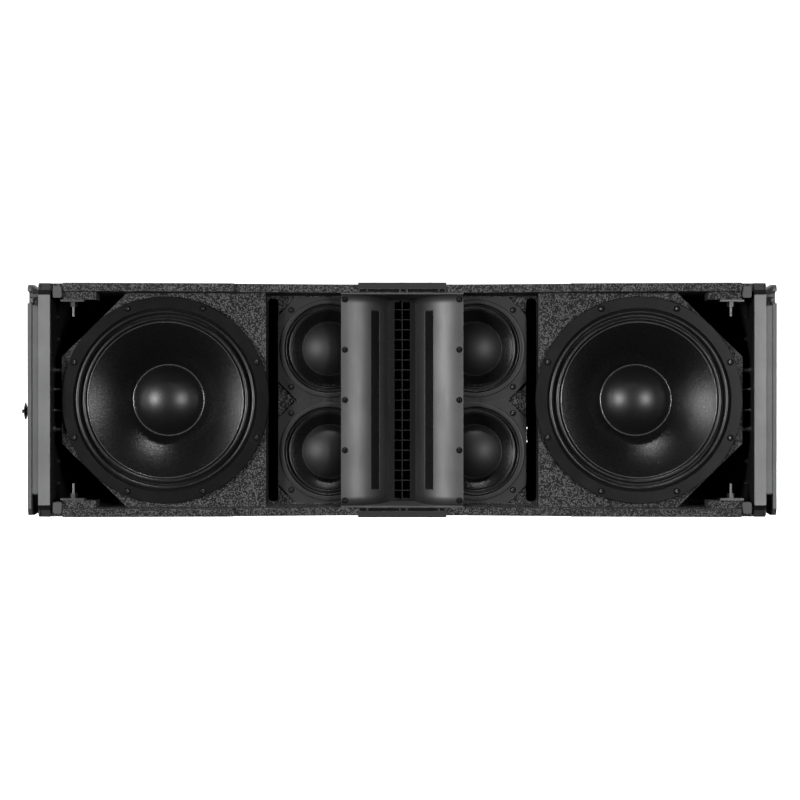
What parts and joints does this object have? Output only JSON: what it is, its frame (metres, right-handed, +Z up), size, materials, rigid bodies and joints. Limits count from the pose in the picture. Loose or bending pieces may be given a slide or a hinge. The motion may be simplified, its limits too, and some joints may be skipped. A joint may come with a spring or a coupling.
{
  "type": "line array speaker",
  "caption": "Wide wedge-shaped line array loudspeaker with bass cones at the ends, mids around a slotted centre horn, and steel side rigging plates.",
  "frame": {"origin": "centre of the object's bounding box, on the horizontal mid plane", "axes": "+X to the right seen from the front, -Y towards the audience (front), +Z up"},
  "size_m": [1.1492, 0.48, 0.359],
  "materials": {
    "cabinet": "black textured paint with a fine grain over plywood",
    "bumper_rubber": "matt grey moulded rubber",
    "zinc_steel": "blackened zinc plate",
    "rigging_steel": "satin dark grey powder coat",
    "black_screws": "black oxide, satin",
    "bright_steel": "bright turned steel",
    "basket_cast": "smooth black paint on a cast frame",
    "magnet_iron": "black coated ferrite and steel",
    "surround_cloth": "black treated cloth",
    "cone_paper": "black coated paper",
    "spider_cloth": "corrugated impregnated cloth",
    "flare_paint": "satin dark grey paint on folded sheet",
    "horn_plastic": "black moulded plastic",
    "amp_metal": "black anodised aluminium",
    "circuit_green": "green lacquered board",
    "window_plastic": "glossy black window"
  },
  "bodies": {
    "cabinet": {"top_board": "cabinet", "bottom_board": "cabinet", "side_board_left": "cabinet", "side_board_right": "cabinet", "rear_board": "cabinet", "woofer_baffle_left": "cabinet", "woofer_baffle_right": "cabinet", "mid_baffle": "cabinet", "partitions": "cabinet", "corner_blocks": "cabinet", "edge_bumpers": "bumper_rubber", "grille_studs": "zinc_steel", "cavity_bolts": "zinc_steel", "rig_bracket_left": "rigging_steel", "rig_bracket_right": "rigging_steel", "side_plate_left": "rigging_steel", "side_plate_right": "rigging_steel", "channel_spacers": "rigging_steel", "plate_screws": "black_screws", "woofer_basket_left": "basket_cast", "woofer_basket_right": "basket_cast", "woofer_surround_left": "surround_cloth", "woofer_surround_right": "surround_cloth", "woofer_spiders": "spider_cloth", "woofer_motors": "magnet_iron", "woofer_screws": "black_screws", "mid_frames": "basket_cast", "mid_motors": "magnet_iron", "mid_surrounds": "surround_cloth", "small_screws": "black_screws", "horn_flare_left": "flare_paint", "horn_flare_right": "flare_paint", "horn_plates": "flare_paint", "hf_grid": "horn_plastic", "waveguide": "horn_plastic", "hf_drivers": "magnet_iron", "centre_plates": "rigging_steel", "amp_panel": "amp_metal", "heat_sink": "amp_metal", "circuit_board": "circuit_green", "sockets": "horn_plastic", "display_window": "window_plastic", "handle_cups": "horn_plastic"},
    "woofer_left": {"woofer_cone_left": "cone_paper"},
    "woofer_right": {"woofer_cone_right": "cone_paper"},
    "mid_upper_left": {"mid_cone_upper_left": "cone_paper"},
    "mid_upper_right": {"mid_cone_upper_right": "cone_paper"},
    "mid_lower_left": {"mid_cone_lower_left": "cone_paper"},
    "mid_lower_right": {"mid_cone_lower_right": "cone_paper"},
    "link_left": {"front_link_left": "rigging_steel"},
    "link_right": {"front_link_right": "rigging_steel"},
    "pin_left": {"front_pin_left": "rigging_steel"},
    "pin_right": {"front_pin_right": "rigging_steel"},
    "button_left": {"pin_button_left": "bright_steel"},
    "button_right": {"pin_button_right": "bright_steel"},
    "rear_link_left": {"rear_link_left": "rigging_steel"},
    "rear_link_right": {"rear_link_right": "rigging_steel"},
    "knob": {"encoder_knob": "horn_plastic"},
    "select": {"select_button": "bright_steel"},
    "rocker": {"power_rocker": "horn_plastic"}
  },
  "joints": [
    {"name": "woofer_left_travel", "type": "slide", "parent": "cabinet", "child": "woofer_left", "axis": [0, -1, 0], "range_m": [-0.008, 0.008], "stiffness_N_per_m": 5000},
    {"name": "woofer_right_travel", "type": "slide", "parent": "cabinet", "child": "woofer_right", "axis": [0, -1, 0], "range_m": [-0.008, 0.008], "stiffness_N_per_m": 5000},
    {"name": "mid_upper_left_travel", "type": "slide", "parent": "cabinet", "child": "mid_upper_left", "axis": [0, -1, 0], "range_m": [-0.003, 0.003], "stiffness_N_per_m": 4000},
    {"name": "mid_upper_right_travel", "type": "slide", "parent": "cabinet", "child": "mid_upper_right", "axis": [0, -1, 0], "range_m": [-0.003, 0.003], "stiffness_N_per_m": 4000},
    {"name": "mid_lower_left_travel", "type": "slide", "parent": "cabinet", "child": "mid_lower_left", "axis": [0, -1, 0], "range_m": [-0.003, 0.003], "stiffness_N_per_m": 4000},
    {"name": "mid_lower_right_travel", "type": "slide", "parent": "cabinet", "child": "mid_lower_right", "axis": [0, -1, 0], "range_m": [-0.003, 0.003], "stiffness_N_per_m": 4000},
    {"name": "front_link_left_slide", "type": "slide", "parent": "cabinet", "child": "link_left", "axis": [0, 0, -1], "range_m": [0, 0.06]},
    {"name": "front_pin_left_pull", "type": "slide", "parent": "cabinet", "child": "pin_left", "axis": [-1, 0, 0], "range_m": [0, 0.02]},
    {"name": "pin_button_left_press", "type": "slide", "parent": "pin_left", "child": "button_left", "axis": [1, 0, 0], "range_m": [0, 0.0025], "stiffness_N_per_m": 400},
    {"name": "rear_link_left_swing", "type": "hinge", "parent": "cabinet", "child": "rear_link_left", "pos_m": [-0.554, 0.172, 0.108], "axis": [-1, 0, 0], "range_deg": [0, 90]},
    {"name": "front_link_right_slide", "type": "slide", "parent": "cabinet", "child": "link_right", "axis": [0, 0, -1], "range_m": [0, 0.06]},
    {"name": "front_pin_right_pull", "type": "slide", "parent": "cabinet", "child": "pin_right", "axis": [1, 0, 0], "range_m": [0, 0.02]},
    {"name": "pin_button_right_press", "type": "slide", "parent": "pin_right", "child": "button_right", "axis": [-1, 0, 0], "range_m": [0, 0.0025], "stiffness_N_per_m": 400},
    {"name": "rear_link_right_swing", "type": "hinge", "parent": "cabinet", "child": "rear_link_right", "pos_m": [0.554, 0.172, 0.108], "axis": [-1, 0, 0], "range_deg": [0, 90]},
    {"name": "encoder_turn", "type": "hinge", "parent": "cabinet", "child": "knob", "pos_m": [0.16, 0.214, -0.06], "axis": [0, 1, 0], "continuous": true},
    {"name": "select_press", "type": "slide", "parent": "cabinet", "child": "select", "axis": [0, -1, 0], "range_m": [0, 0.0015], "stiffness_N_per_m": 600},
    {"name": "power_tilt", "type": "hinge", "parent": "cabinet", "child": "rocker", "pos_m": [0.222, 0.212, -0.06], "axis": [1, 0, 0], "range_deg": [0, 14]}
  ]
}
